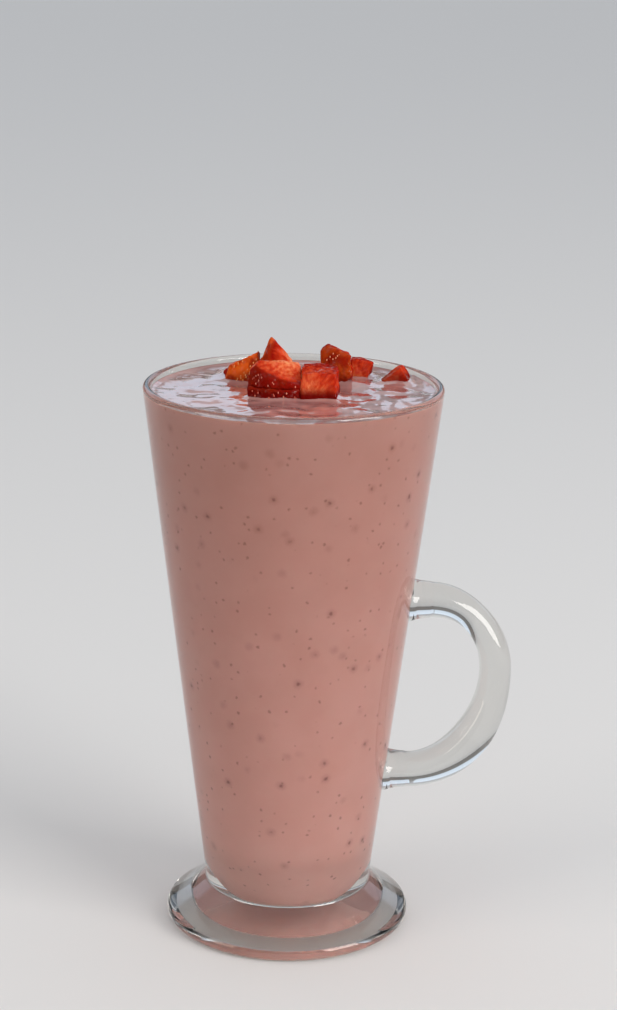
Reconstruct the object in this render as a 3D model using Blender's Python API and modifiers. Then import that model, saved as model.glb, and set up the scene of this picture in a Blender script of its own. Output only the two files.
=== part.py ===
"""Strawberry smoothie in its footed glass mug, topped with diced strawberries.

Run with: blender --background --python part.py
Units are metres and +Z is up. The origin is the middle of the foot's flat underside, on the axis of
the glass. The handle points along +X, and the side that faces a viewer is -Y.
"""

import math
from collections import namedtuple

import bmesh
import bpy
from mathutils import Vector, noise

MM = 0.001

# Glass: a tall cone on a solid round foot
GLASS_HEIGHT = 151.3 * MM
RIM_RADIUS = 40.0 * MM
RIM_WALL = 2.2 * MM
NECK_RADIUS = 22.65 * MM
NECK_HEIGHT = 11.1 * MM
NECK_ROUNDING = 1.0 * MM
FOOT_SHOULDER_RADIUS = 26.9 * MM
FOOT_SHOULDER_HEIGHT = 7.35 * MM
FOOT_SHOULDER_ROUNDING = 4.0 * MM
FOOT_RADIUS = 33.5 * MM
FOOT_EDGE_HEIGHT = 3.3 * MM
FOOT_ROUNDING = 2.05 * MM

# Hollow of the glass: its wall thickens downwards, and its bottom is a deep rounded bowl
SHOULDER_HEIGHT = 23.0 * MM
SHOULDER_WALL = 3.1 * MM
SHOULDER_ROUNDING = 13.0 * MM
FLOOR_HEIGHT = 6.4 * MM
FLOOR_RADIUS = 9.0 * MM
FLOOR_ROUNDING = 9.0 * MM

# Handle: a rod that leaves the wall level, bulges high and sweeps back to the wall
HANDLE_TOP = 92.0 * MM
HANDLE_BOTTOM = 42.8 * MM
BELLY_HEIGHT = 72.0 * MM
BELLY_REACH = 56.0 * MM
UPPER_BEND_REACH = 18.0 * MM
LOWER_BEND_REACH = 23.7 * MM
TOP_THICKNESS = 9.5 * MM
UPPER_BEND_THICKNESS = 8.0 * MM
BELLY_THICKNESS = 8.7 * MM
LOWER_BEND_THICKNESS = 10.7 * MM
HANDLE_WIDTH_RATIO = 1.12
HANDLE_BITE = 1.5 * MM
ROOT_FLARE = 1.1 * MM
ROOT_FLARE_REACH = 2.6 * MM
BEND_STEPS = 7

# Smoothie
LIQUID_LEVEL = 148.8 * MM
SURFACE_RINGS = 9
RIPPLE_HEIGHT = 0.35 * MM
RIPPLE_LENGTH = 11.0 * MM
SUNK_PIECE_PLACE = Vector((15.9 * MM, 10.5 * MM))
SUNK_PIECE_RADIUS = 4.0 * MM
SUNK_PIECE_HEIGHT = 1.2 * MM

# Fit between touching pieces
GAP = 0.3 * MM

# Fineness of the round pieces
TURN_STEPS = 64
ARC_STEPS = 4
HANDLE_SIDES = 4

# Strawberries: the whole berry that the pieces are diced from
BERRY_RADIUS = 12.5 * MM
BERRY_STRETCH = 1.2
BERRY_FINENESS = 3

# A piece of strawberry. Its place is its middle, from the centre of the liquid's surface, in
# millimetres. Each face is (azimuth, elevation, distance from the middle): azimuth 0 is +X, 90 is
# +Y, and the skin is where the round berry reaches furthest out. The rest are flat knife cuts.
Chunk = namedtuple("Chunk", "name place skin cuts")

CHUNKS = (
    Chunk(
        name="strawberry_left",
        place=(-13.0, 16.4, 1.2),
        skin=(-125, 28, 4.8),
        cuts=((142, 57, 3.5), (0, 0, 3.3), (75, 5, 4.4), (-175, 20, 5.0), (0, -90, 3.6)),
    ),
    Chunk(
        name="strawberry_peak",
        place=(-4.9, 11.8, 4.4),
        skin=(-164, 8, 4.0),
        cuts=((-78, 12, 3.4), (178, 24, 4.3), (4, 40, 3.95), (0, 0, 4.0), (90, 8, 3.6), (0, -90, 6.4)),
    ),
    Chunk(
        name="strawberry_front_left",
        place=(-4.9, -1.2, 5.4),
        skin=(-112, 22, 6.9),
        cuts=((80, 78, 2.9), (-64, 61, 3.15), (2, 8, 6.4), (92, 10, 5.6), (168, 42, 5.2), (178, 4, 6.4),
              (0, -90, 2.4)),
    ),
    Chunk(
        name="strawberry_slice",
        place=(-5.0, -3.6, 0.0),
        skin=(-100, 5, 6.0),
        cuts=((0, 90, 2.6), (0, 0, 6.7), (90, 0, 5.6), (180, 8, 6.8), (0, -90, 2.2)),
    ),
    Chunk(
        name="strawberry_front_right",
        place=(7.0, -3.6, 2.8),
        skin=(48, 48, 6.2),
        cuts=((-94, 10, 5.0), (178, 2, 4.7), (-4, 2, 4.3), (-90, 86, 4.3), (88, 4, 5.0), (0, -90, 5.6)),
    ),
    Chunk(
        name="strawberry_tall",
        place=(11.1, 14.6, 3.3),
        skin=(-104, 14, 4.2),
        cuts=((180, 4, 3.8), (4, 4, 4.0), (12, 69, 5.2), (170, 50, 6.1), (-28, -34, 4.8), (88, 4, 3.8),
              (0, -90, 5.4)),
    ),
    Chunk(
        name="strawberry_back",
        place=(18.3, 21.6, 1.2),
        skin=(60, 20, 3.8),
        cuts=((-100, 14, 2.8), (-14, -16, 2.1), (178, 0, 2.6), (30, 78, 3.0), (0, -90, 3.4)),
    ),
    Chunk(
        name="strawberry_right",
        place=(26.8, 15.6, 0.7),
        skin=(-14, 26, 4.4),
        cuts=((-100, 30, 2.5), (174, 51, 1.5), (88, 16, 2.6), (130, 74, 2.8), (-10, 34, 3.5), (0, -90, 2.8)),
    ),
)


def clear_scene():
    """Empty the scene before the model is made."""
    for thing in list(bpy.data.objects):
        bpy.data.objects.remove(thing, do_unlink=True)


def new_collection(name):
    """A collection linked to the scene."""
    collection = bpy.data.collections.new(name)
    bpy.context.scene.collection.children.link(collection)
    return collection


def plain_material(name, colour, roughness, transmission=0.0):
    """A Principled material with the piece's own colour and finish."""
    material = bpy.data.materials.new(name)
    material.use_nodes = True
    shader = material.node_tree.nodes["Principled BSDF"]
    shader.inputs["Base Color"].default_value = (*colour, 1.0)
    shader.inputs["Roughness"].default_value = roughness
    shader.inputs["Metallic"].default_value = 0.0
    shader.inputs["Transmission Weight"].default_value = transmission
    return material


def rounded_outline(corners):
    """Points of an outline given as (radius, height, rounding), with each rounded corner an arc."""
    points = []
    for index, (radius, height, rounding) in enumerate(corners):
        corner = Vector((radius, height))
        if not rounding:
            points.append(corner)
            continue
        back = (Vector(corners[index - 1][:2]) - corner).normalized()
        ahead = (Vector(corners[index + 1][:2]) - corner).normalized()
        half_angle = back.angle(ahead) / 2
        centre = corner + (back + ahead).normalized() * rounding / math.sin(half_angle)
        spoke = corner + back * rounding / math.tan(half_angle) - centre
        turn = math.copysign(math.pi - 2 * half_angle, ahead.cross(back))
        for step in range(ARC_STEPS + 1):
            angle = turn * step / ARC_STEPS
            turned = Vector((
                spoke.x * math.cos(angle) - spoke.y * math.sin(angle),
                spoke.x * math.sin(angle) + spoke.y * math.cos(angle),
            ))
            points.append(centre + turned)
    return points


def solid_mesh(source, name):
    """The evaluated mesh of an object, with its doubled points merged."""
    evaluated = source.evaluated_get(bpy.context.evaluated_depsgraph_get())
    mesh = bpy.data.meshes.new_from_object(evaluated)
    mesh.name = name
    shape = bmesh.new()
    shape.from_mesh(mesh)
    bmesh.ops.remove_doubles(shape, verts=shape.verts, dist=0.01 * MM)
    shape.to_mesh(mesh)
    shape.free()
    return mesh


def turned_mesh(name, outline):
    """A closed turned body: the outline, down its outer side, goes once round the Z axis."""
    profile = bpy.data.meshes.new(name + "_outline")
    edges = [(i, i + 1) for i in range(len(outline) - 1)]
    profile.from_pydata([(point.x, 0.0, point.y) for point in outline], edges, [])
    turning = bpy.data.objects.new(name + "_turning", profile)
    bpy.context.scene.collection.objects.link(turning)
    screw = turning.modifiers.new("Turn", "SCREW")
    screw.steps = TURN_STEPS
    screw.render_steps = TURN_STEPS
    screw.use_merge_vertices = True
    screw.merge_threshold = 0.01 * MM
    mesh = solid_mesh(turning, name)
    bpy.data.objects.remove(turning, do_unlink=True)
    return mesh


def place_object(name, mesh, collection, material, smooth_angle=35):
    """An object for a finished mesh, shaded smooth except over sharp edges."""
    thing = bpy.data.objects.new(name, mesh)
    collection.objects.link(thing)
    mesh.materials.clear()
    mesh.materials.append(material)
    mesh.shade_smooth()
    mesh.set_sharp_from_angle(angle=math.radians(smooth_angle))
    return thing


def outer_radius(height):
    """Radius of the outside of the cone at a height."""
    share = (height - NECK_HEIGHT) / (GLASS_HEIGHT - NECK_HEIGHT)
    return NECK_RADIUS + share * (RIM_RADIUS - NECK_RADIUS)


def hollow_radius(height):
    """Radius of the inside of the cone at a height above its shoulder."""
    low = outer_radius(SHOULDER_HEIGHT) - SHOULDER_WALL
    high = RIM_RADIUS - RIM_WALL
    share = (height - SHOULDER_HEIGHT) / (GLASS_HEIGHT - SHOULDER_HEIGHT)
    return low + share * (high - low)


def hollow_corners(inset=0.0):
    """Corners of the hollow from the middle of its floor to its shoulder, moved in by an inset."""
    return [
        (0.0, FLOOR_HEIGHT + inset, 0.0),
        (FLOOR_RADIUS - inset, FLOOR_HEIGHT + inset, FLOOR_ROUNDING),
        (hollow_radius(SHOULDER_HEIGHT) - inset, SHOULDER_HEIGHT, SHOULDER_ROUNDING),
    ]


def handle_thickness(angle):
    """Thickness of the rod at an angle round its bend: 90 at the top, 0 at the belly, -90 below."""
    stations = (
        (90, TOP_THICKNESS),
        (45, UPPER_BEND_THICKNESS),
        (0, BELLY_THICKNESS),
        (-45, LOWER_BEND_THICKNESS),
        (-90, TOP_THICKNESS),
    )
    for (high, thick_high), (low, thick_low) in zip(stations, stations[1:]):
        if angle >= low:
            share = (1 - math.cos(math.pi * (high - angle) / (high - low))) / 2
            return thick_high + share * (thick_low - thick_high)
    return TOP_THICKNESS


def handle_route():
    """Points (x, z, radius) along the middle of the rod, from its upper root to its lower one."""
    route = []
    upper_start = BELLY_REACH - UPPER_BEND_REACH
    lower_start = BELLY_REACH - LOWER_BEND_REACH
    for step in range(2 * BEND_STEPS + 1):
        angle = 90 - 90 * step / BEND_STEPS
        upper = angle >= 0
        start = upper_start if upper else lower_start
        reach = BELLY_REACH - start
        rise = HANDLE_TOP - BELLY_HEIGHT if upper else BELLY_HEIGHT - HANDLE_BOTTOM
        x = start + reach * math.cos(math.radians(angle))
        z = BELLY_HEIGHT + rise * math.sin(math.radians(angle))
        route.append((x, z, handle_thickness(angle) / 2))
    return root_points(HANDLE_TOP, upper_start) + route + root_points(HANDLE_BOTTOM, lower_start)[::-1]


def root_points(height, bend_start):
    """Points of the level run from inside the wall to the bend, flared where it meets the wall."""
    wall = outer_radius(height)
    points = []
    for distance in (-HANDLE_BITE, -0.3 * HANDLE_BITE, 0.8 * MM, 2.2 * MM):
        flare = ROOT_FLARE * math.exp(-max(distance, 0.0) / ROOT_FLARE_REACH)
        points.append((wall + distance, height, TOP_THICKNESS / 2 + flare))
    assert points[-1][0] < bend_start
    return points


def handle_mesh():
    """The handle as one closed rod, oval across."""
    curve = bpy.data.curves.new("handle", "CURVE")
    curve.dimensions = "3D"
    curve.bevel_depth = 1.0
    curve.bevel_resolution = HANDLE_SIDES
    curve.use_fill_caps = True
    route = handle_route()
    spline = curve.splines.new("POLY")
    spline.points.add(len(route) - 1)
    for point, (x, z, radius) in zip(spline.points, route):
        point.co = (x, 0.0, z, 1.0)
        point.radius = radius
    rod = bpy.data.objects.new("handle_route", curve)
    bpy.context.scene.collection.objects.link(rod)
    mesh = solid_mesh(rod, "handle")
    bpy.data.objects.remove(rod, do_unlink=True)
    for vertex in mesh.vertices:
        vertex.co.y *= HANDLE_WIDTH_RATIO
    return mesh


def combine(target, tool, operation, solver="EXACT"):
    """Join a tool to an object, or cut it away, with a Boolean."""
    boolean = target.modifiers.new(operation.title(), "BOOLEAN")
    boolean.operation = operation
    boolean.solver = solver
    boolean.object = tool


def make_tool(name, mesh, collection):
    """A helper object that is only there to cut or join."""
    tool = bpy.data.objects.new(name, mesh)
    collection.objects.link(tool)
    tool.hide_render = True
    tool.display_type = "WIRE"
    return tool


def make_glass(collection, tools, material):
    """The glass: cone, foot and handle in one piece."""
    rim_rounding = 0.48 * RIM_WALL
    corners = hollow_corners() + [
        (RIM_RADIUS - RIM_WALL, GLASS_HEIGHT, rim_rounding),
        (RIM_RADIUS, GLASS_HEIGHT, rim_rounding),
        (NECK_RADIUS, NECK_HEIGHT, NECK_ROUNDING),
        (FOOT_SHOULDER_RADIUS, FOOT_SHOULDER_HEIGHT, FOOT_SHOULDER_ROUNDING),
        (FOOT_RADIUS, FOOT_EDGE_HEIGHT, FOOT_ROUNDING),
        (FOOT_RADIUS, 0.0, FOOT_ROUNDING),
        (0.0, 0.0, 0.0),
    ]
    glass = place_object("glass", turned_mesh("glass", rounded_outline(corners)), collection, material)
    handle = make_tool("handle_rod", handle_mesh(), tools)
    combine(glass, handle, "UNION")
    return glass


def surface_height(x, y):
    """Height of the liquid's uneven surface above its level at a place."""
    wave = noise.noise(Vector((x, y, 0.0)) / RIPPLE_LENGTH) * RIPPLE_HEIGHT
    from_sunk_piece = (Vector((x, y)) - SUNK_PIECE_PLACE).length / SUNK_PIECE_RADIUS
    return wave + SUNK_PIECE_HEIGHT * math.exp(-from_sunk_piece ** 2)


def make_smoothie(collection, material, cutters):
    """The drink: it fills the hollow to its level, cut round the sunk strawberry pieces.

    The cuts overlap each other, and the exact solver drops the body at the third of them, so they
    use the manifold solver.
    """
    edge_radius = hollow_radius(LIQUID_LEVEL) - GAP
    surface = [(edge_radius * i / SURFACE_RINGS, LIQUID_LEVEL, 0.0) for i in range(SURFACE_RINGS + 1)]
    mesh = turned_mesh("smoothie", rounded_outline(surface + hollow_corners(GAP)[::-1]))
    for vertex in mesh.vertices:
        inside = math.hypot(vertex.co.x, vertex.co.y) < edge_radius - GAP
        if inside and vertex.co.z > LIQUID_LEVEL - GAP:
            vertex.co.z += surface_height(vertex.co.x, vertex.co.y)
    smoothie = place_object("smoothie", mesh, collection, material)
    for cutter in cutters:
        combine(smoothie, cutter, "DIFFERENCE", solver="MANIFOLD")
    return smoothie


def facing(azimuth, elevation):
    """Unit vector that points at an azimuth and elevation in degrees."""
    across = math.cos(math.radians(elevation))
    return Vector((
        across * math.cos(math.radians(azimuth)),
        across * math.sin(math.radians(azimuth)),
        math.sin(math.radians(elevation)),
    ))


def chunk_mesh(chunk, growth=0.0):
    """A diced piece: the round berry, cut off flat on each side. Growth moves every face out."""
    shape = bmesh.new()
    bmesh.ops.create_icosphere(shape, subdivisions=BERRY_FINENESS, radius=BERRY_RADIUS + growth)
    bmesh.ops.scale(shape, vec=(1.0, 1.0, BERRY_STRETCH), verts=shape.verts)
    azimuth, elevation, reach = chunk.skin
    berry_middle = facing(azimuth, elevation) * (reach * MM - BERRY_RADIUS)
    bmesh.ops.translate(shape, vec=berry_middle, verts=shape.verts)
    for azimuth, elevation, distance in chunk.cuts:
        normal = facing(azimuth, elevation)
        everything = shape.verts[:] + shape.edges[:] + shape.faces[:]
        bmesh.ops.bisect_plane(
            shape, geom=everything, plane_co=normal * (distance * MM + growth), plane_no=normal,
            clear_outer=True,
        )
        rim = [edge for edge in shape.edges if edge.is_boundary]
        bmesh.ops.contextual_create(shape, geom=rim)
    bmesh.ops.remove_doubles(shape, verts=shape.verts, dist=0.02 * MM)
    bmesh.ops.triangulate(shape, faces=shape.faces)
    bmesh.ops.recalc_face_normals(shape, faces=shape.faces)
    middle = Vector(chunk.place) * MM + Vector((0.0, 0.0, LIQUID_LEVEL))
    bmesh.ops.translate(shape, vec=middle, verts=shape.verts)
    mesh = bpy.data.meshes.new(chunk.name)
    shape.to_mesh(mesh)
    shape.free()
    return mesh


def make_part():
    """Model the glass, the drink and its topping."""
    clear_scene()
    parts = new_collection("strawberry_smoothie")
    tools = new_collection("tools")
    clear_glass = plain_material("clear_glass", (0.95, 0.97, 0.97), 0.02, transmission=1.0)
    pink_drink = plain_material("pink_drink", (0.50, 0.25, 0.21), 0.25)
    strawberry = plain_material("strawberry", (0.62, 0.06, 0.02), 0.25)
    make_glass(parts, tools, clear_glass)
    cutters = []
    for chunk in CHUNKS:
        place_object(chunk.name, chunk_mesh(chunk), parts, strawberry)
        cutters.append(make_tool(chunk.name + "_room", chunk_mesh(chunk, GAP), tools))
    make_smoothie(parts, pink_drink, cutters)


make_part()
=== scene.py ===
"""Looks of the strawberry smoothie: the glass, the drink, the diced strawberries and the stage.

Units are metres and +Z is up. The origin is on the table, under the middle of the foot. The handle
points along +X, and the side that faces the camera is -Y.
"""

import math
from collections import namedtuple

import bmesh
import bpy
from bpy.props import FloatProperty, FloatVectorProperty, IntProperty, PointerProperty
from mathutils import Matrix, Vector, kdtree, noise


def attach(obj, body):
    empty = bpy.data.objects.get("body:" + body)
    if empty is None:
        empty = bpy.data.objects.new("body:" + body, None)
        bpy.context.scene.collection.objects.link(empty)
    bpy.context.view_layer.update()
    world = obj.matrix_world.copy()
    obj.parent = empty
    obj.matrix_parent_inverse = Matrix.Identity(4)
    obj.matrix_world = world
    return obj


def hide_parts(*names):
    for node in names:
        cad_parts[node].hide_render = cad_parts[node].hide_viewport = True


bl_info = {
    "name": "Strawberry smoothie",
    "version": (1, 0, 0),
    "blender": (4, 5, 0),
    "location": "View3D > Sidebar > Smoothie",
    "description": "A strawberry smoothie in a footed glass mug, topped with diced strawberries",
    "category": "Add Mesh",
}

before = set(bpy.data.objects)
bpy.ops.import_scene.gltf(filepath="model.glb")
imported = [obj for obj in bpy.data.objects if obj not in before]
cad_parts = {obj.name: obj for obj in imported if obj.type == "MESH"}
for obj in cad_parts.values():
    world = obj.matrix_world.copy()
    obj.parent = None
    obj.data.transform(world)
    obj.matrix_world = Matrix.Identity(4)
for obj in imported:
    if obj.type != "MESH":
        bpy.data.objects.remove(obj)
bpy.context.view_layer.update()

MM = 0.001

# Outline of the glass, where the settings below don't give it. The foot stands on a ring round a
# shallow recess
RIM_ROUNDING_SHARE = 0.48
NECK_ROUNDING = 1.0 * MM
FOOT_SHOULDER_RADIUS = 26.9 * MM
FOOT_SHOULDER_HEIGHT = 7.35 * MM
FOOT_SHOULDER_ROUNDING = 4.0 * MM
STANDING_RING_RADIUS = 29.1 * MM
STANDING_RING_ROUNDING = 0.5 * MM
RECESS_RADIUS = 24.6 * MM
RECESS_ROUNDING = 2.0 * MM
HOLLOW_FLOOR_RADIUS = 9.0 * MM
HOLLOW_SHOULDER_ROUNDING = 13.0 * MM
SHARP_ANGLE = math.radians(50)

# Thickness of the handle's rod at angles round its bend: 90 is the top, 0 the belly, -90 the bottom
HANDLE_THICKNESS = (
    (90, 9.5 * MM),
    (45, 8.0 * MM),
    (0, 8.7 * MM),
    (-45, 10.7 * MM),
    (-90, 9.5 * MM),
)
HANDLE_ROOT_DEPTH = 1.6 * MM
HANDLE_FLARE_REACH = 2.6 * MM
HANDLE_STEP = 0.5 * MM
HANDLE_LEAST_STEP = 0.4 * MM

# Surface of the drink: long and short ripples, which die out towards the wall
DRINK_STEPS = 256
LONG_RIPPLE = 11 * MM
SHORT_RIPPLE = 4.5 * MM
SHORT_RIPPLE_SHARE = 0.45
CALM_REACH = 4 * MM
WALL_CLIMB_REACH = 1.0 * MM
FRUIT_CLIMB = 0.7 * MM
FRUIT_CLIMB_REACH = 0.9 * MM

# A piece of fruit that is wholly sunk lifts the surface here
SUNK_PLACE = Vector((15.9 * MM, 10.5 * MM, 0.0))
SUNK_REACH = 4 * MM
SUNK_RISE = 1.2 * MM

# Seeds and shreds of berry in the drink. They lie in cells: scale is cells in a metre, bare is the
# share of the cells with none, and a speck fades from inner to outer, in widths of a cell
Speck = namedtuple("Speck", "name scale bare inner outer strength colour")

SPECKS = (
    Speck(
        "Halo", scale=150.0, bare=0.22, inner=0.05, outer=0.30, strength=0.24,
        colour=(0.30, 0.08, 0.06),
    ),
    Speck(
        "Fine", scale=330.0, bare=0.24, inner=0.04, outer=0.20, strength=0.50,
        colour=(0.22, 0.05, 0.035),
    ),
    Speck(
        "Coarse", scale=150.0, bare=0.30, inner=0.02, outer=0.12, strength=0.60,
        colour=(0.15, 0.015, 0.012),
    ),
)

# Shares of the drink's colour: in its clouds, and from low in the glass to high, which is painted
# light and shade: lighter and paler low down, darker high up
CLOUD_DARKER = (0.97, 0.94, 0.93)
CLOUD_LIGHTER = (1.02, 1.03, 1.04)
SHADE_GRADIENT_LOW_HEIGHT = 15 * MM
SHADE_GRADIENT_HIGH_HEIGHT = 135 * MM
PAINTED_LIGHT_LOW = (1.17, 1.27, 1.33)
PAINTED_SHADE_HIGH = (0.90, 0.89, 0.90)
SURFACE_MAUVE = (0.36, 0.19, 0.18)

# Flesh of a strawberry from near its core to its skin, as (share of the way out, colour)
FLESH_STOPS = (
    (0.12, (0.76, 0.25, 0.11)),
    (0.30, (0.66, 0.125, 0.045)),
    (0.52, (0.52, 0.042, 0.012)),
    (0.78, (0.30, 0.009, 0.003)),
    (1.0, (0.20, 0.004, 0.002)),
)
RIPE_SKIN = (0.15, 0.0015, 0.0015)
ORANGE_SKIN = (0.86, 0.135, 0.014)
SKIN_BLOTCH = (0.23, 0.005, 0.003)

# Painted shade: ripe fruit is darker low down, by the drink's surface: wholly below the first height,
# and not above the second
PAINTED_SHADE_RED = (0.15, 0.003, 0.002)
SHADE_FULL_BELOW = 150.0 * MM
SHADE_UP_TO = 152.8 * MM

# The whole berry that the pieces are diced from
BERRY_RADIUS = 12.5 * MM
BERRY_STRETCH = 1.2

# How often a piece is smoothed, and the waves on its faces, as (height, length)
SOFTENING_PASSES = 11
FACE_WAVES = ((0.14 * MM, 1.3 * MM), (0.60 * MM, 4.0 * MM))

# Pits round the seeds: the depth in the berry that they begin at, and their radius
PITTED_DEPTH = 0.93
PIT_RADIUS = 0.62 * MM

# Seeds: half width, half length and half thickness for the length of a seed, how deep they sit, how
# far they keep from a cut, and how far and how fast they wander from an even spread
SEED_SHAPE = (0.30, 0.52, 0.22)
SEED_SINK = 0.10 * MM
SEED_MARGIN = 0.4 * MM
SEED_WANDER_UP = 0.45
SEED_WANDER_UP_PACE = 5.1
SEED_WANDER_ROUND = 0.14
SEED_WANDER_ROUND_PACE = 3.7

# The camera as fitted to the photograph: its place in metres, its turns in degrees, and its focal
# length in pixels of a frame this high
CAMERA_PLACE = (0.0010, -0.5996, 0.2857)
CAMERA_HEADING = -0.32
CAMERA_DOWN = 15.62
CAMERA_ROLL = 0.87
FOCAL_LENGTH_PIXELS = 2325.0
FRAME_HEIGHT_PIXELS = 1010.0
SENSOR_HEIGHT = 36.0

# Sky from straight down (0) past the horizon (0.5) to straight up (1)
HORIZON_GREY = (0.24, 0.235, 0.23)
SKY_STOPS = (
    (0.0, HORIZON_GREY),
    (0.560, HORIZON_GREY),
    (0.600, (0.34, 0.345, 0.36)),
    (0.70, (0.55, 0.58, 0.63)),
    (0.80, (1.0, 1.02, 1.04)),
    (1.0, (0.70, 0.73, 0.78)),
)

# The low blue glow. It comes and goes between these heights, and between these distances from a gap
# right of the middle, and it grows towards straight behind; all are parts of a way of length 1
GLOW_BLUE = (0.66, 0.81, 1.0)
GLOW_BOTTOM = (0.13, 0.19)
GLOW_TOP = (0.30, 0.42)
GLOW_GAP = 0.030
GLOW_GAP_EDGE = (0.016, 0.044)
GLOW_BEHIND = (0.35, 0.85)

LIGHTS_TARGET = (0.0, 0.0, 80 * MM)
FLOOR_DROP = 0.2 * MM

# A piece of strawberry. Its place is its middle, from the centre of the liquid's surface, in
# millimetres. Each face is (azimuth, elevation, distance from the middle): azimuth 0 is +X, 90 is
# +Y, and the skin is where the round berry reaches furthest out. The rest are flat knife cuts.
# Orange is 0 where the skin is deep red and 1 where it is unripe orange. Pale is how much nearer to
# the core the flesh looks, and seeded is the share of the seeds that show.
Chunk = namedtuple("Chunk", "name place skin cuts orange pale seeded")

CHUNKS = (
    Chunk(
        name="strawberry_left",
        place=(-13.0, 16.4, 1.2),
        skin=(-125, 28, 4.8),
        cuts=((142, 57, 3.5), (0, 0, 3.3), (75, 5, 4.4), (-175, 20, 5.0), (0, -90, 3.6)),
        orange=0.8,
        pale=0.05,
        seeded=1.0,
    ),
    Chunk(
        name="strawberry_peak",
        place=(-4.9, 11.8, 4.4),
        skin=(-164, 8, 4.0),
        cuts=((-78, 12, 3.4), (178, 24, 4.3), (4, 40, 3.95), (0, 0, 4.0), (90, 8, 3.6),
              (0, -90, 6.4)),
        orange=0.5,
        pale=0.15,
        seeded=0.0,
    ),
    Chunk(
        name="strawberry_front_left",
        place=(-4.9, -1.2, 5.4),
        skin=(-112, 22, 6.9),
        cuts=((80, 78, 2.9), (-64, 61, 3.15), (2, 8, 6.4), (92, 10, 5.6), (168, 42, 5.2),
              (178, 4, 6.4), (0, -90, 2.4)),
        orange=0.05,
        pale=0.3,
        seeded=1.0,
    ),
    Chunk(
        name="strawberry_slice",
        place=(-5.0, -3.6, 0.0),
        skin=(-100, 5, 6.0),
        cuts=((0, 90, 2.6), (0, 0, 6.7), (90, 0, 5.6), (180, 8, 6.8), (0, -90, 2.2)),
        orange=0.1,
        pale=0.0,
        seeded=1.0,
    ),
    Chunk(
        name="strawberry_front_right",
        place=(7.0, -3.6, 2.8),
        skin=(48, 48, 6.2),
        cuts=((-94, 10, 5.0), (178, 2, 4.7), (-4, 2, 4.3), (-90, 86, 4.3), (88, 4, 5.0),
              (0, -90, 5.6)),
        orange=0.1,
        pale=0.02,
        seeded=1.0,
    ),
    Chunk(
        name="strawberry_tall",
        place=(11.1, 14.6, 3.3),
        skin=(-104, 14, 4.2),
        cuts=((180, 4, 3.8), (4, 4, 4.0), (12, 69, 5.2), (170, 50, 6.1), (-28, -34, 4.8), (88, 4, 3.8),
              (0, -90, 5.4)),
        orange=0.27,
        pale=0.0,
        seeded=0.2,
    ),
    Chunk(
        name="strawberry_back",
        place=(18.3, 21.6, 1.2),
        skin=(60, 20, 3.8),
        cuts=((-100, 14, 2.8), (-14, -16, 2.1), (178, 0, 2.6), (30, 78, 3.0), (0, -90, 3.4)),
        orange=0.6,
        pale=0.02,
        seeded=0.5,
    ),
    Chunk(
        name="strawberry_right",
        place=(26.8, 15.6, 0.7),
        skin=(-14, 26, 4.4),
        cuts=((-100, 30, 2.5), (174, 51, 1.5), (88, 16, 2.6), (130, 74, 2.8), (-10, 34, 3.5),
              (0, -90, 2.8)),
        orange=0.3,
        pale=0.25,
        seeded=0.5,
    ),
)


def length_property(label, description, millimetres):
    """A length setting, given in millimetres."""
    return FloatProperty(
        name=label, description=description, default=millimetres * MM, unit="LENGTH",
    )


def light_property(label, description, amount):
    """The power or strength of a light."""
    return FloatProperty(name=label, description=description, default=amount, min=0.0)


class GlassSettings(bpy.types.PropertyGroup):
    """Sizes of the glass."""

    height: length_property("Height", "Height of the rim above the table", 151.3)
    rim_radius: length_property("Rim radius", "Outer radius at the rim", 40.0)
    rim_wall: length_property("Rim wall", "Thickness of the wall at the rim", 2.2)
    neck_radius: length_property("Neck radius", "Radius where the cone meets the foot", 22.65)
    neck_height: length_property("Neck height", "Height where the cone meets the foot", 11.1)
    foot_radius: length_property("Foot radius", "Radius of the foot", 33.5)
    foot_edge: length_property("Foot edge", "Height of the foot's edge", 3.3)
    foot_rounding: length_property("Foot rounding", "Rounding of the foot's edge", 2.05)
    recess: length_property("Recess", "Depth of the shallow recess under the foot", 1.8)
    floor_height: length_property("Floor height", "Height of the hollow's floor above the table", 6.4)
    shoulder_height: length_property("Shoulder height", "Height where the hollow's bowl begins", 23.0)
    shoulder_wall: length_property("Shoulder wall", "Thickness of the wall where the bowl begins", 3.1)
    steps: IntProperty(name="Steps", description="Steps round the glass", default=192, min=12)


class HandleSettings(bpy.types.PropertyGroup):
    """Sizes of the handle."""

    top: length_property("Top", "Height of the rod's upper level run", 92.0)
    bottom: length_property("Bottom", "Height of the rod's lower level run", 42.8)
    belly_height: length_property("Belly height", "Height where the rod reaches furthest out", 72.0)
    belly_reach: length_property("Belly reach", "How far out the rod's middle reaches", 56.0)
    upper_bend: length_property("Upper bend", "Reach of the upper bend", 18.0)
    lower_bend: length_property("Lower bend", "Reach of the lower bend", 23.7)
    flare: length_property("Flare", "How much the rod widens where it meets the wall", 1.1)
    width_ratio: FloatProperty(
        name="Width ratio", description="Width of the rod for its thickness", default=1.12, min=0.5,
    )


class DrinkSettings(bpy.types.PropertyGroup):
    """Sizes and colours of the drink."""

    level: length_property("Level", "Height of the liquid's surface", 148.8)
    overlap: length_property("Overlap", "How far the drink reaches into the glass wall", 0.2)
    ripple: length_property("Ripple", "Height of the ripples on the surface", 0.5)
    climb: length_property("Climb", "How far the surface climbs at the wall", 0.8)
    colour: FloatVectorProperty(
        name="Colour", description="Colour of the blended strawberries and milk", subtype="COLOR",
        default=(0.735, 0.380, 0.320), min=0.0, max=1.0,
    )
    rings: IntProperty(name="Rings", description="Rings of the surface's mesh", default=84, min=4)


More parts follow.
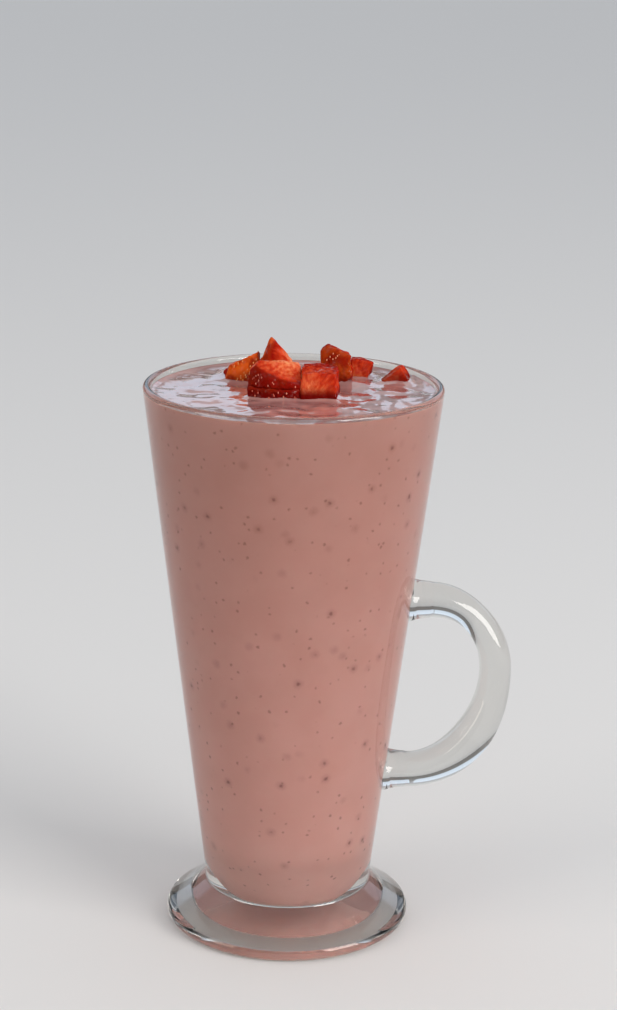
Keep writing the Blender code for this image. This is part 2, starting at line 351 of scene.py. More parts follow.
class StrawberrySettings(bpy.types.PropertyGroup):
    """Sizes of the diced strawberries."""

    fineness: length_property("Fineness", "Grid that the pieces are formed on", 0.25)
    seed_spacing: length_property("Seed spacing", "Distance between seeds on the skin", 1.45)
    seed_length: length_property("Seed length", "Length of a seed", 0.58)
    dimple: length_property("Dimple", "Depth of the dimple round a seed", 0.32)
    swell: length_property("Swell", "How far faces stand out before they are softened", 0.28)


class StageSettings(bpy.types.PropertyGroup):
    """Strength of the lights and size of the floor."""

    key: light_property("Key light", "Power in watts of the large light on the right", 30.0)
    fill: light_property("Fill light", "Power in watts of the soft light on the left", 7.5)
    sky: light_property("Sky", "Strength of the pale sky all round", 0.80)
    glow: light_property("Glow", "Brightness of the low blue glow behind", 1.8)
    floor_radius: length_property("Floor radius", "Radius of the floor", 5500.0)


def new_material(name):
    """A material with only a Principled shader and its output."""
    material = bpy.data.materials.new(name)
    material.use_nodes = True
    return material, material.node_tree, material.node_tree.nodes["Principled BSDF"]


def connect(tree, node, inputs):
    """Set or link sockets of a node; inputs are (socket, value or output to link) pairs."""
    for socket, value in inputs:
        if isinstance(value, bpy.types.NodeSocket):
            tree.links.new(value, node.inputs[socket])
        else:
            node.inputs[socket].default_value = value


def add_node(tree, kind, inputs=(), **values):
    """A node with its settings and its inputs."""
    node = tree.nodes.new(kind)
    for key, value in values.items():
        setattr(node, key, value)
    connect(tree, node, inputs)
    return node


def blend_colour(tree, mask, low, high, how="MIX"):
    """The colour that goes from low to high as the mask goes from 0 to 1."""
    mix = add_node(tree, "ShaderNodeMix", ((0, mask),), data_type="RGBA", blend_type=how)
    for socket, colour in ((6, low), (7, high)):
        opaque = colour if isinstance(colour, bpy.types.NodeSocket) else (*colour, 1.0)
        connect(tree, mix, ((socket, opaque),))
    return mix.outputs[2]


def colour_ramp(tree, value, stops):
    """The colour of a value along (position, colour) stops."""
    ramp = add_node(tree, "ShaderNodeValToRGB", (("Fac", value),))
    elements = ramp.color_ramp.elements
    for element, (position, colour) in ((elements[0], stops[0]), (elements[1], stops[-1])):
        element.position = position
        element.color = (*colour, 1.0)
    for position, colour in stops[1:-1]:
        elements.new(position).color = (*colour, 1.0)
    return ramp.outputs["Color"]


def mapped(tree, value, low, high, to_low=0.0, to_high=1.0, smooth=True):
    """The value, moved from one range to another and kept inside it."""
    node = add_node(
        tree, "ShaderNodeMapRange",
        ((0, value), (1, low), (2, high), (3, to_low), (4, to_high)),
        interpolation_type="SMOOTHSTEP" if smooth else "LINEAR",
    )
    return node.outputs[0]


def arithmetic(tree, operation, first, second):
    """The result of a Math node."""
    node = add_node(tree, "ShaderNodeMath", ((0, first), (1, second)), operation=operation)
    return node.outputs[0]


def bump(tree, height, distance, strength):
    """Normals of a surface with this height on it."""
    inputs = (("Strength", strength), ("Distance", distance), ("Height", height))
    return add_node(tree, "ShaderNodeBump", inputs).outputs["Normal"]


def noise_texture(tree, place, scale, detail=2.0):
    """A noise texture at a place; scale is in waves to the metre."""
    return add_node(
        tree, "ShaderNodeTexNoise", (("Vector", place), ("Scale", scale), ("Detail", detail)),
    )


def noise_value(tree, place, scale, detail=2.0):
    """A value from 0 to 1 that changes from place to place."""
    return noise_texture(tree, place, scale, detail).outputs["Fac"]


def object_place(tree):
    """Place on the object, in metres."""
    return add_node(tree, "ShaderNodeTexCoord").outputs["Object"]


def height_of(tree, place):
    """How high a place or a way is."""
    return add_node(tree, "ShaderNodeSeparateXYZ", ((0, place),)).outputs["Z"]


def attribute(tree, name, output="Fac"):
    """A value that the mesh holds at each vertex."""
    return add_node(tree, "ShaderNodeAttribute", attribute_name=name).outputs[output]


def speck_group():
    """Node group: masks of the seeds and shreds of berry that float in the drink."""
    group = bpy.data.node_groups.new("drink_specks", "ShaderNodeTree")
    group.interface.new_socket("Vector", in_out="INPUT", socket_type="NodeSocketVector")
    for speck in SPECKS:
        group.interface.new_socket(speck.name, in_out="OUTPUT", socket_type="NodeSocketFloat")
    entry = add_node(group, "NodeGroupInput").outputs[0]
    wobble = noise_texture(group, entry, 900.0).outputs["Color"]
    shift = add_node(
        group, "ShaderNodeVectorMath", ((0, wobble), (1, (0.8 * MM,) * 3)), operation="MULTIPLY",
    ).outputs[0]
    place = add_node(
        group, "ShaderNodeVectorMath", ((0, entry), (1, shift)), operation="ADD",
    ).outputs[0]
    leave = add_node(group, "NodeGroupOutput")
    for speck in SPECKS:
        cells = add_node(group, "ShaderNodeTexVoronoi", (("Vector", place), ("Scale", speck.scale)))
        near = mapped(group, cells.outputs["Distance"], speck.inner, speck.outer, 1.0, 0.0)
        pick = add_node(group, "ShaderNodeSeparateColor", ((0, cells.outputs["Color"]),))
        chosen = arithmetic(group, "GREATER_THAN", pick.outputs[0], speck.bare)
        connect(group, leave, ((speck.name, arithmetic(group, "MULTIPLY", near, chosen)),))
    return group


def drink_material(name, colour, specks, on_top):
    """Thick pink drink with specks. On top it is wet and glossy; at the wall the glass wets it."""
    material, tree, shader = new_material(name)
    place = object_place(tree)
    clouds = noise_value(tree, place, 70.0, 4.0)
    darker = [channel * share for channel, share in zip(colour, CLOUD_DARKER)]
    lighter = [channel * share for channel, share in zip(colour, CLOUD_LIGHTER)]
    base = blend_colour(tree, mapped(tree, clouds, 0.3, 0.7), darker, lighter)
    # Painted light and shade: the drink is lighter and paler low in the glass, darker high up
    risen = mapped(tree, height_of(tree, place), SHADE_GRADIENT_LOW_HEIGHT, SHADE_GRADIENT_HIGH_HEIGHT, smooth=False)
    light_and_shade = blend_colour(tree, risen, PAINTED_LIGHT_LOW, PAINTED_SHADE_HIGH)
    base = blend_colour(tree, 1.0, base, light_and_shade, how="MULTIPLY")
    masks = add_node(tree, "ShaderNodeGroup", node_tree=specks)
    connect(tree, masks, ((0, place),))
    for speck in SPECKS:
        amount = arithmetic(tree, "MULTIPLY", masks.outputs[speck.name], speck.strength)
        base = blend_colour(tree, amount, base, speck.colour)
    if on_top:
        base = blend_colour(tree, mapped(tree, clouds, 0.35, 0.6, 0.55, 0.85), base, SURFACE_MAUVE)
        waves = bump(tree, noise_value(tree, place, 120.0), 1.3 * MM, 0.5)
        connect(tree, shader, (
            ("Roughness", 0.12),
            ("IOR", 1.40),
            ("Normal", waves),
            ("Coat Weight", 1.0),
            ("Coat Roughness", 0.03),
            ("Coat IOR", 1.45),
            ("Coat Normal", waves),
        ))
    else:
        connect(tree, shader, (("Roughness", 0.6), ("Specular IOR Level", 0.1)))
    connect(tree, shader, (
        ("Base Color", base),
        ("Subsurface Weight", 0.25),
        ("Subsurface Radius", (1.0, 0.5, 0.4)),
        ("Subsurface Scale", 1.5 * MM),
    ))
    return material


def glass_material():
    """Clear polished glass."""
    material, tree, shader = new_material("clear_glass")
    connect(tree, shader, (
        ("Base Color", (0.81, 0.805, 0.78, 1.0)),
        ("Metallic", 0.0),
        ("Transmission Weight", 1.0),
        ("IOR", 1.5),
        ("Roughness", 0.0),
    ))
    return material


def flesh_colour(tree, place):
    """Flesh, which pales from the skin to the core in patches and fibres."""
    patches = noise_value(tree, place, 420.0, 4.0)
    patch = mapped(tree, patches, 0.3, 0.7, -0.09, 0.09, smooth=False)
    fibres = noise_value(tree, attribute(tree, "spoke", "Vector"), 11.0, 4.0)
    fibre = mapped(tree, fibres, 0.35, 0.65, -0.14, 0.10, smooth=False)
    inside = arithmetic(tree, "ADD", attribute(tree, "depth"), patch)
    inside = arithmetic(tree, "ADD", inside, fibre)
    inside = arithmetic(tree, "SUBTRACT", inside, attribute(tree, "pale"))
    return colour_ramp(tree, inside, FLESH_STOPS)


def skin_colour(tree, place, orange):
    """Skin, from ripe red to orange, with darker blotches."""
    ripe = blend_colour(tree, orange, RIPE_SKIN, ORANGE_SKIN)
    blotches = noise_value(tree, place, 300.0, 3.0)
    return blend_colour(tree, mapped(tree, blotches, 0.44, 0.62, 0.0, 0.75), ripe, SKIN_BLOTCH)


def strawberry_material():
    """Wet strawberry: skin where the mesh is at the berry's full depth, and flesh on the cuts."""
    material, tree, shader = new_material("strawberry")
    place = object_place(tree)
    orange = attribute(tree, "orange")
    on_skin = mapped(tree, attribute(tree, "depth"), 0.91, 0.985)
    colour = blend_colour(tree, on_skin, flesh_colour(tree, place), skin_colour(tree, place, orange))
    # Painted shade low on the fruit near the drink, weaker on orange fruit
    low_down = mapped(tree, height_of(tree, place), SHADE_FULL_BELOW, SHADE_UP_TO, 1.0, 0.0)
    low_shade = arithmetic(tree, "MULTIPLY", low_down, mapped(tree, orange, 0.1, 0.6, 1.0, 0.25))
    glints = noise_value(tree, place, 700.0)
    connect(tree, shader, (
        ("Base Color", blend_colour(tree, low_shade, colour, PAINTED_SHADE_RED)),
        ("Normal", bump(tree, noise_value(tree, place, 1500.0, 3.0), 0.25 * MM, 0.4)),
        ("Roughness", 0.35),
        ("Specular IOR Level", 0.0),
        ("Subsurface Weight", 0.4),
        ("Subsurface Radius", (1.0, 0.25, 0.10)),
        ("Subsurface Scale", 2.5 * MM),
        ("Coat Weight", mapped(tree, glints, 0.50, 0.66, 0.05, 0.8)),
        ("Coat Normal", bump(tree, glints, 0.4 * MM, 0.6)),
        ("Coat Roughness", 0.08),
        ("Coat IOR", 1.33),
    ))
    return material


def seed_material():
    """Seeds of a strawberry, from straw yellow on orange skin to red brown on ripe skin."""
    material, tree, shader = new_material("strawberry_seed")
    mask = mapped(tree, noise_value(tree, object_place(tree), 300.0), 0.35, 0.65)
    dull = blend_colour(tree, mask, (0.42, 0.05, 0.04), (0.62, 0.17, 0.12))
    bright = blend_colour(tree, mask, (0.82, 0.27, 0.05), (0.90, 0.42, 0.13))
    connect(tree, shader, (
        ("Base Color", blend_colour(tree, attribute(tree, "orange"), dull, bright)),
        ("Roughness", 0.4),
        ("Specular IOR Level", 0.2),
        ("Coat Weight", 0.3),
        ("Coat Roughness", 0.08),
    ))
    return material


def rounded_outline(corners, arc_steps=8):
    """Points of an outline given as (radius, height, rounding), with each rounded corner an arc."""
    points = []
    for index, (radius, height, rounding) in enumerate(corners):
        corner = Vector((radius, height))
        if not rounding:
            points.append(corner)
            continue
        back = (Vector(corners[index - 1][:2]) - corner).normalized()
        ahead = (Vector(corners[index + 1][:2]) - corner).normalized()
        half_angle = back.angle(ahead) / 2
        centre = corner + (back + ahead).normalized() * rounding / math.sin(half_angle)
        spoke = corner + back * rounding / math.tan(half_angle) - centre
        turn = math.copysign(math.pi - 2 * half_angle, ahead.cross(back))
        for step in range(arc_steps + 1):
            angle = turn * step / arc_steps
            turned = Vector((
                spoke.x * math.cos(angle) - spoke.y * math.sin(angle),
                spoke.x * math.sin(angle) + spoke.y * math.cos(angle),
            ))
            points.append(centre + turned)
    return points


def spun_shape(outline, steps):
    """A closed body: the outline goes once round the Z axis."""
    shape = bmesh.new()
    verts = [shape.verts.new((point.x, 0.0, point.y)) for point in outline]
    edges = [shape.edges.new(pair) for pair in zip(verts, verts[1:])]
    bmesh.ops.spin(
        shape, geom=verts + edges, cent=(0, 0, 0), axis=(0, 0, 1), angle=math.tau, steps=steps,
        use_merge=True,
    )
    bmesh.ops.remove_doubles(shape, verts=shape.verts, dist=0.002 * MM)
    bmesh.ops.recalc_face_normals(shape, faces=shape.faces)
    return shape


def finished_mesh(shape, name):
    """A smooth-shaded mesh of a bmesh, which is freed."""
    mesh = bpy.data.meshes.new(name)
    shape.to_mesh(mesh)
    shape.free()
    mesh.shade_smooth()
    return mesh


def applied_mesh(source, name):
    """The evaluated mesh of a helper object, which is removed."""
    evaluated = source.evaluated_get(bpy.context.evaluated_depsgraph_get())
    mesh = bpy.data.meshes.new_from_object(evaluated)
    mesh.name = name
    bpy.data.objects.remove(source, do_unlink=True)
    return mesh


def helper(name, data):
    """A helper object linked to the scene."""
    thing = bpy.data.objects.new(name, data)
    bpy.context.scene.collection.objects.link(thing)
    return thing


def add_piece(name, mesh, materials, node=None):
    """A piece of the object that rides on the one body, and may stand for a CAD node."""
    piece = helper(name, mesh)
    for material in materials:
        mesh.materials.append(material)
    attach(piece, "root")
    if node:
        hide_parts(node)


def wall_radius(glass, height):
    """Radius of the outside of the cone at a height."""
    share = (height - glass.neck_height) / (glass.height - glass.neck_height)
    return glass.neck_radius + share * (glass.rim_radius - glass.neck_radius)


def hollow_radius(glass, height):
    """Radius of the inside of the cone at a height above its shoulder."""
    low = wall_radius(glass, glass.shoulder_height) - glass.shoulder_wall
    high = glass.rim_radius - glass.rim_wall
    share = (height - glass.shoulder_height) / (glass.height - glass.shoulder_height)
    return low + share * (high - low)


def hollow_corners(glass, inset=0.0):
    """Corners of the hollow from the middle of its floor to its shoulder, moved in by an inset."""
    return [
        (0.0, glass.floor_height + inset, 0.0),
        (HOLLOW_FLOOR_RADIUS - inset, glass.floor_height + inset, HOLLOW_FLOOR_RADIUS),
        (
            hollow_radius(glass, glass.shoulder_height) - inset, glass.shoulder_height,
            HOLLOW_SHOULDER_ROUNDING,
        ),
    ]


def rod_thickness(angle):
    """Thickness of the rod at an angle round its bend."""
    for (high, thick_high), (low, thick_low) in zip(HANDLE_THICKNESS, HANDLE_THICKNESS[1:]):
        if angle >= low:
            share = (1 - math.cos(math.pi * (high - angle) / (high - low))) / 2
            return thick_high + share * (thick_low - thick_high)
    return HANDLE_THICKNESS[-1][1]


def run_points(glass, handle, height, bend_start):
    """Points of a level run of the rod, from inside the wall to the bend, flared at the wall."""
    wall = wall_radius(glass, height)
    points = []
    x = wall - HANDLE_ROOT_DEPTH
    while x < bend_start - HANDLE_LEAST_STEP:
        flare = handle.flare * math.exp(-max(x - wall, 0.0) / HANDLE_FLARE_REACH)
        points.append((x, height, HANDLE_THICKNESS[0][1] / 2 + flare))
        x += HANDLE_STEP
    return points


def handle_route(glass, handle, steps=36):
    """Points (x, z, radius) along the middle of the rod, from its upper root to its lower one."""
    route = []
    upper_start = handle.belly_reach - handle.upper_bend
    lower_start = handle.belly_reach - handle.lower_bend
    for step in range(2 * steps + 1):
        angle = 90 - 90 * step / steps
        above_belly = angle >= 0
        start = upper_start if above_belly else lower_start
        rise = handle.top - handle.belly_height if above_belly else handle.belly_height - handle.bottom
        x = start + (handle.belly_reach - start) * math.cos(math.radians(angle))
        z = handle.belly_height + rise * math.sin(math.radians(angle))
        route.append((x, z, rod_thickness(angle) / 2))
    above = run_points(glass, handle, handle.top, upper_start)
    below = run_points(glass, handle, handle.bottom, lower_start)
    return above + route + below[::-1]


def handle_mesh(glass, handle):
    """The handle as one closed rod, oval across."""
    curve = bpy.data.curves.new("handle_route", "CURVE")
    curve.dimensions = "3D"
    curve.bevel_depth = 1.0
    curve.bevel_resolution = 14
    curve.use_fill_caps = True
    route = handle_route(glass, handle)
    spline = curve.splines.new("POLY")
    spline.points.add(len(route) - 1)
    for point, (x, z, radius) in zip(spline.points, route):
        point.co = (x, 0.0, z, 1.0)
        point.radius = radius
    shape = bmesh.new()
    shape.from_mesh(applied_mesh(helper("handle_route", curve), "handle"))
    bmesh.ops.remove_doubles(shape, verts=shape.verts, dist=0.005 * MM)
    bmesh.ops.scale(shape, vec=(1.0, handle.width_ratio, 1.0), verts=shape.verts)
    return finished_mesh(shape, "handle")


class SMOOTHIE_OT_glass(bpy.types.Operator):
    """Make the glass: cone, foot and handle in one piece"""

    bl_idname = "smoothie.glass"
    bl_label = "Glass"

    def execute(self, context):
        glass = context.scene.smoothie_glass
        rim_rounding = RIM_ROUNDING_SHARE * glass.rim_wall
        corners = hollow_corners(glass) + [
            (glass.rim_radius - glass.rim_wall, glass.height, rim_rounding),
            (glass.rim_radius, glass.height, rim_rounding),
            (glass.neck_radius, glass.neck_height, NECK_ROUNDING),
            (FOOT_SHOULDER_RADIUS, FOOT_SHOULDER_HEIGHT, FOOT_SHOULDER_ROUNDING),
            (glass.foot_radius, glass.foot_edge, glass.foot_rounding),
            (glass.foot_radius, 0.0, glass.foot_rounding),
            (STANDING_RING_RADIUS, 0.0, STANDING_RING_ROUNDING),
            (RECESS_RADIUS, glass.recess, RECESS_ROUNDING),
            (0.0, glass.recess, 0.0),
        ]
        shape = spun_shape(rounded_outline(corners), glass.steps)
        cup = helper("cup", finished_mesh(shape, "cup"))
        rod = helper("rod", handle_mesh(glass, context.scene.smoothie_handle))
        join = cup.modifiers.new("Handle", "BOOLEAN")
        join.operation = "UNION"
        join.solver = "EXACT"
        join.object = rod
        mesh = applied_mesh(cup, "glass_mug")
        bpy.data.objects.remove(rod, do_unlink=True)
        mesh.shade_smooth()
        mesh.set_sharp_from_angle(angle=SHARP_ANGLE)
        add_piece("glass_mug", mesh, [glass_material()], node="glass")
        return {"FINISHED"}


def facing(azimuth, elevation):
    """Unit vector that points at an azimuth and elevation in degrees."""
    across = math.cos(math.radians(elevation))
    return Vector((
        across * math.cos(math.radians(azimuth)),
        across * math.sin(math.radians(azimuth)),
        math.sin(math.radians(elevation)),
    ))


def chunk_middle(chunk, level):
    """Middle of a diced piece."""
    return Vector(chunk.place) * MM + Vector((0.0, 0.0, level))


def berry_middle(chunk, level):
    """Middle of the whole berry that a piece is cut from."""
    azimuth, elevation, reach = chunk.skin
    return chunk_middle(chunk, level) + facing(azimuth, elevation) * (reach * MM - BERRY_RADIUS)


def berry_depth(point, middle):
    """1 on the skin of the whole berry, 0 in its middle."""
    spoke = point - middle
    spoke.z /= BERRY_STRETCH
    return spoke.length / BERRY_RADIUS


def beyond_cuts(chunk, point, level):
    """How far a point lies outside the flat cuts of a piece, or less than 0 inside them."""
    spoke = point - chunk_middle(chunk, level)
    return max(
        spoke.dot(facing(azimuth, elevation)) - distance * MM
        for azimuth, elevation, distance in chunk.cuts
    )


def beyond_chunk(chunk, point, level):
    """How far a point lies outside a piece, or less than 0 inside it."""
    beyond_skin = (berry_depth(point, berry_middle(chunk, level)) - 1.0) * BERRY_RADIUS
    return max(beyond_skin, beyond_cuts(chunk, point, level))


def surface_rise(x, y, drink, edge_radius):
    """Height of the liquid's surface above its level at a place."""
    point = Vector((x, y, 0.0))
    from_wall = edge_radius - point.length
    calm = 1.0 - math.exp(-from_wall / CALM_REACH)
    ripples = noise.noise(point / LONG_RIPPLE) + SHORT_RIPPLE_SHARE * noise.noise(point / SHORT_RIPPLE)
    rise = drink.ripple * calm * ripples
    rise += drink.climb * math.exp(-from_wall / WALL_CLIMB_REACH)
    from_sunk = (point - SUNK_PLACE).length / SUNK_REACH
    rise += SUNK_RISE * math.exp(-from_sunk ** 2)
    point.z = drink.level
    gap = min(beyond_chunk(chunk, point, drink.level) for chunk in CHUNKS)
    rise += FRUIT_CLIMB * math.exp(-max(gap, 0.0) / FRUIT_CLIMB_REACH)
    return rise


def drink_shape(glass, drink):
    """The drink as a closed body, with the second material on its rippled surface."""
    edge_radius = hollow_radius(glass, drink.level) + drink.overlap
    rings = range(drink.rings + 1)
    surface = [(edge_radius * ring / drink.rings, drink.level, 0.0) for ring in rings]
    outline = rounded_outline(surface + hollow_corners(glass, -drink.overlap)[::-1])
    shape = spun_shape(outline, DRINK_STEPS)
    just_below = drink.level - 0.1 * MM
    top_faces = [face for face in shape.faces if min(v.co.z for v in face.verts) > just_below]
    for vertex in {vertex for face in top_faces for vertex in face.verts}:
        vertex.co.z += surface_rise(vertex.co.x, vertex.co.y, drink, edge_radius)
    for face in top_faces:
        face.material_index = 1
    return shape


class SMOOTHIE_OT_drink(bpy.types.Operator):
    """Make the drink, from the bottom of the hollow to its rippled surface"""

    bl_idname = "smoothie.drink"
    bl_label = "Drink"

    def execute(self, context):
        drink = context.scene.smoothie_drink
        specks = speck_group()
        materials = [
            drink_material("pink_drink", drink.colour, specks, on_top=False),
            drink_material("pink_drink_surface", drink.colour, specks, on_top=True),
        ]
        mesh = finished_mesh(drink_shape(context.scene.smoothie_glass, drink), "drink")
        mesh.set_sharp_from_angle(angle=SHARP_ANGLE)
        add_piece("drink", mesh, materials, node="smoothie")
        return {"FINISHED"}


def seed_places(middle, radius, spacing):
    """Places spread over the skin of the whole berry, with the way out there."""
    count = int(4 * math.pi * radius ** 2 * BERRY_STRETCH / spacing ** 2)
    places = []
    for index in range(count):
        step = index + 0.5 + SEED_WANDER_UP * math.sin(SEED_WANDER_UP_PACE * index)
        height = 1 - 2 * step / count
        angle = index * math.pi * (3 - math.sqrt(5))
        angle += SEED_WANDER_ROUND * math.sin(SEED_WANDER_ROUND_PACE * index)
        across = math.sqrt(1 - height ** 2)
        ball = Vector((across * math.cos(angle), across * math.sin(angle), height))
        place = middle + Vector((ball.x, ball.y, ball.z * BERRY_STRETCH)) * radius
        outward = Vector((ball.x, ball.y, ball.z / BERRY_STRETCH)).normalized()
        places.append((place, outward))
    return places


def cut_berry(chunk, berries, level):
    """The whole round berry, cut off flat on each side of a piece."""
    shape = bmesh.new()
    bmesh.ops.create_icosphere(shape, subdivisions=6, radius=BERRY_RADIUS + berries.swell)
    bmesh.ops.scale(shape, vec=(1.0, 1.0, BERRY_STRETCH), verts=shape.verts)
    bmesh.ops.translate(shape, vec=berry_middle(chunk, level), verts=shape.verts)
    for azimuth, elevation, distance in chunk.cuts:
        normal = facing(azimuth, elevation)
        place = chunk_middle(chunk, level) + normal * (distance * MM + berries.swell)
        everything = shape.verts[:] + shape.edges[:] + shape.faces[:]
        bmesh.ops.bisect_plane(
            shape, geom=everything, plane_co=place, plane_no=normal, clear_outer=True,
        )
        open_edges = [edge for edge in shape.edges if edge.is_boundary]
        bmesh.ops.contextual_create(shape, geom=open_edges)
    return shape


def softened(shape, name, fineness):
    """The same form on an even grid, with its edges softened."""
    rough = helper(name, finished_mesh(shape, name))
    remesh = rough.modifiers.new("Remesh", "REMESH")
    remesh.mode = "VOXEL"
    remesh.voxel_size = fineness
    soft = bmesh.new()
    soft.from_mesh(applied_mesh(rough, name))
    for _ in range(SOFTENING_PASSES):
        bmesh.ops.smooth_vert(
            soft, verts=soft.verts, factor=0.5, use_axis_x=True, use_axis_y=True, use_axis_z=True,
        )
    bmesh.ops.recalc_face_normals(soft, faces=soft.faces)
    soft.normal_update()
    return soft


def chunk_mesh(chunk, berries, level, seeds):
    """A diced piece, with wavy faces, a pitted skin and the values that its material reads."""
    shape = softened(cut_berry(chunk, berries, level), chunk.name, berries.fineness)
    tree = kdtree.KDTree(len(seeds))
    for index, (place, _) in enumerate(seeds):
        tree.insert(place, index)
    tree.balance()
    depths = shape.verts.layers.float.new("depth")
    oranges = shape.verts.layers.float.new("orange")
    pales = shape.verts.layers.float.new("pale")
    spokes = shape.verts.layers.float_vector.new("spoke")
    middle = berry_middle(chunk, level)
    for vertex in shape.verts:
        depth = berry_depth(vertex.co, middle)
        vertex[depths] = depth
        vertex[oranges] = chunk.orange
        vertex[pales] = chunk.pale
        vertex[spokes] = (vertex.co - middle).normalized()
        push = sum(height * noise.noise(vertex.co / length) for height, length in FACE_WAVES)
        if depth > PITTED_DEPTH:
            _, _, distance = tree.find(vertex.co)
            push -= berries.dimple * math.exp(-(distance / PIT_RADIUS) ** 2)
        vertex.co += vertex.normal * push
    return finished_mesh(shape, chunk.name + "_flesh")


def seed_mesh(chunk, berries, seeds):
    """The seeds of a diced piece, as one mesh."""
    shape = bmesh.new()
    size = Matrix.Diagonal((*SEED_SHAPE, 1.0)) @ Matrix.Scale(berries.seed_length, 4)
    for place, outward in seeds:
        side = outward.cross(Vector((0, 0, 1))).normalized()
        turn = Matrix((side, outward.cross(side), outward)).transposed().to_4x4()
        spot = Matrix.Translation(place - outward * SEED_SINK)
        bmesh.ops.create_uvsphere(
            shape, u_segments=12, v_segments=8, radius=1.0, matrix=spot @ turn @ size,
        )
    oranges = shape.verts.layers.float.new("orange")
    for vertex in shape.verts:
        vertex[oranges] = chunk.orange
    return finished_mesh(shape, chunk.name + "_seeds")


class SMOOTHIE_OT_strawberries(bpy.types.Operator):
    """Make the diced strawberries with their seeds"""

    bl_idname = "smoothie.strawberries"
    bl_label = "Strawberries"

    def execute(self, context):
        berries = context.scene.smoothie_strawberries
        level = context.scene.smoothie_drink.level
        fruit = strawberry_material()
        seed_finish = seed_material()
        for chunk in CHUNKS:
            radius = BERRY_RADIUS + berries.swell
            everywhere = seed_places(berry_middle(chunk, level), radius, berries.seed_spacing)
            within = [seed for seed in everywhere if beyond_cuts(chunk, seed[0], level) < -SEED_MARGIN]
            seeds = within[:math.ceil(chunk.seeded * len(within))]
            flesh = chunk_mesh(chunk, berries, level, everywhere)
            add_piece(chunk.name + "_flesh", flesh, [fruit], node=chunk.name)
            if seeds:
                mesh = seed_mesh(chunk, berries, seeds)
                add_piece(chunk.name + "_seeds", mesh, [seed_finish])
        return {"FINISHED"}


def area_light(name, place, size, power, colour):
    """A soft rectangular light that faces the middle of the glass."""
    lamp = bpy.data.lights.new(name, "AREA")
    lamp.shape = "RECTANGLE"
    lamp.size, lamp.size_y = size
    lamp.energy = power
    lamp.color = colour
    light = helper(name, lamp)
    light.location = place
    way = Vector(LIGHTS_TARGET) - Vector(place)
    light.rotation_euler = way.to_track_quat("-Z", "Y").to_euler()


def sky_world(strength, glow):
    """A pale sky with a grey horizon, and over it, behind the glass, a blue glow with a gap in it."""
    world = bpy.data.worlds.new("pale_sky")
    world.use_nodes = True
    tree = world.node_tree
    around = add_node(tree, "ShaderNodeTexCoord").outputs["Generated"]
    way = add_node(tree, "ShaderNodeSeparateXYZ", ((0, around),)).outputs
    height = way["Z"]
    sky = colour_ramp(tree, mapped(tree, height, -1.0, 1.0, smooth=False), SKY_STOPS)
    above_horizon = mapped(tree, height, *GLOW_BOTTOM)
    below_top = mapped(tree, height, *GLOW_TOP, 1.0, 0.0)
    low = arithmetic(tree, "MULTIPLY", above_horizon, below_top)
    from_gap = arithmetic(tree, "SUBTRACT", way["X"], GLOW_GAP)
    from_gap = add_node(tree, "ShaderNodeMath", ((0, from_gap),), operation="ABSOLUTE").outputs[0]
    beside_gap = mapped(tree, from_gap, *GLOW_GAP_EDGE)
    behind = arithmetic(tree, "MULTIPLY", beside_gap, mapped(tree, way["Y"], *GLOW_BEHIND))
    amount = arithmetic(tree, "MULTIPLY", low, behind)
    amount = arithmetic(tree, "MULTIPLY", amount, glow / strength)
    lit = blend_colour(tree, amount, sky, GLOW_BLUE, how="ADD")
    connect(tree, tree.nodes["Background"], (("Color", lit), ("Strength", strength)))
    return world


def pale_floor(radius):
    """A plain round floor, just under the glass."""
    shape = bmesh.new()
    bmesh.ops.create_circle(shape, cap_ends=True, segments=96, radius=radius)
    bmesh.ops.translate(shape, vec=(0.0, 0.0, -FLOOR_DROP), verts=shape.verts)
    floor = helper("floor", finished_mesh(shape, "floor"))
    material, tree, shader = new_material("pale_floor")
    connect(tree, shader, (
        ("Base Color", (0.74, 0.73, 0.72, 1.0)),
        ("Roughness", 0.9),
        ("Specular IOR Level", 0.2),
    ))
    floor.data.materials.append(material)


def fitted_camera():
    """A camera where the photograph was taken from."""
    lens = bpy.data.cameras.new("camera")
    lens.sensor_fit = "VERTICAL"
    lens.sensor_height = SENSOR_HEIGHT
    lens.lens = SENSOR_HEIGHT * FOCAL_LENGTH_PIXELS / FRAME_HEIGHT_PIXELS
    camera = helper("camera", lens)
    turn = Matrix.Rotation(math.radians(CAMERA_HEADING), 4, "Z")
    tilt = Matrix.Rotation(math.radians(90 - CAMERA_DOWN), 4, "X")
    roll = Matrix.Rotation(math.radians(CAMERA_ROLL), 4, "Z")
    camera.matrix_world = Matrix.Translation(CAMERA_PLACE) @ turn @ tilt @ roll
    return camera


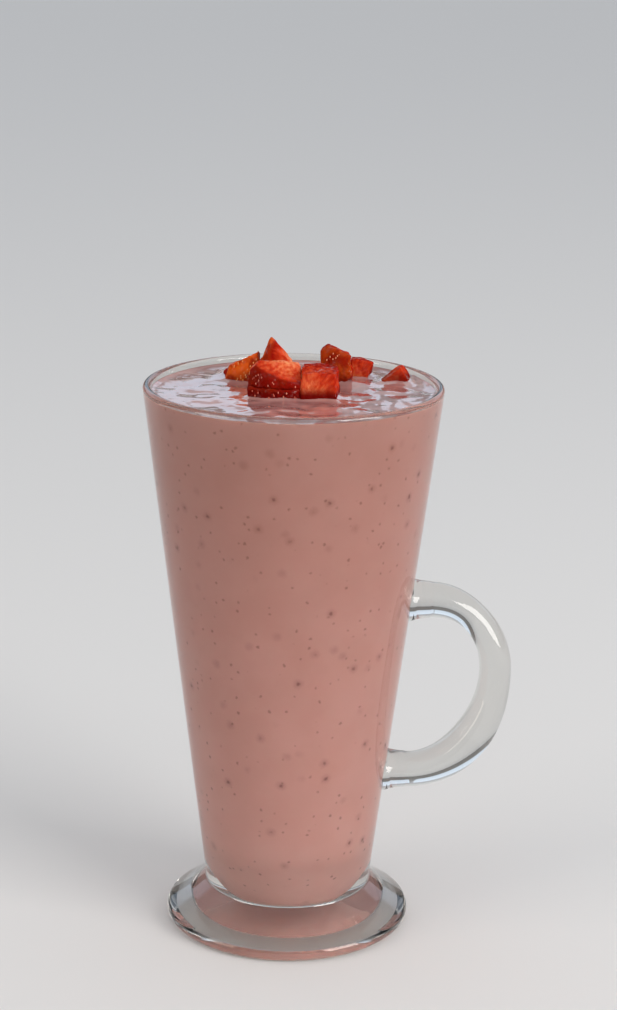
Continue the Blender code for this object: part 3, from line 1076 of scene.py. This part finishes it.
class SMOOTHIE_OT_stage(bpy.types.Operator):
    """Make the floor, the lights, the sky and the camera"""

    bl_idname = "smoothie.stage"
    bl_label = "Stage"

    def execute(self, context):
        stage = context.scene.smoothie_stage
        pale_floor(stage.floor_radius)
        area_light(
            "key_light", place=(1.36, -1.05, 0.60), size=(1.05, 1.0), power=stage.key,
            colour=(1.0, 0.97, 0.93),
        )
        area_light(
            "fill_light", place=(-1.35, -0.68, 0.50), size=(0.8, 0.9), power=stage.fill,
            colour=(1.0, 0.88, 0.76),
        )
        context.scene.world = sky_world(stage.sky, stage.glow)
        context.scene.camera = fitted_camera()
        context.scene.view_settings.view_transform = "Standard"
        return {"FINISHED"}


class SMOOTHIE_PT_panel(bpy.types.Panel):
    """Panel with a button for each piece"""

    bl_idname = "SMOOTHIE_PT_panel"
    bl_label = "Strawberry smoothie"
    bl_space_type = "VIEW_3D"
    bl_region_type = "UI"
    bl_category = "Smoothie"

    def draw(self, context):
        for operator in OPERATORS:
            self.layout.operator(operator.bl_idname)


OPERATORS = (SMOOTHIE_OT_glass, SMOOTHIE_OT_drink, SMOOTHIE_OT_strawberries, SMOOTHIE_OT_stage)

SETTINGS = {
    "smoothie_glass": GlassSettings,
    "smoothie_handle": HandleSettings,
    "smoothie_drink": DrinkSettings,
    "smoothie_strawberries": StrawberrySettings,
    "smoothie_stage": StageSettings,
}


def register():
    """Add the settings, operators and panel to Blender."""
    for name, group in SETTINGS.items():
        bpy.utils.register_class(group)
        setattr(bpy.types.Scene, name, PointerProperty(type=group))
    for kind in (*OPERATORS, SMOOTHIE_PT_panel):
        bpy.utils.register_class(kind)


def unregister():
    """Remove them again."""
    for kind in reversed((*OPERATORS, SMOOTHIE_PT_panel)):
        bpy.utils.unregister_class(kind)
    for name, group in SETTINGS.items():
        delattr(bpy.types.Scene, name)
        bpy.utils.unregister_class(group)


def main():
    """Make everything."""
    register()
    bpy.ops.smoothie.glass()
    bpy.ops.smoothie.drink()
    bpy.ops.smoothie.strawberries()
    bpy.ops.smoothie.stage()


if __name__ == "__main__":
    main()
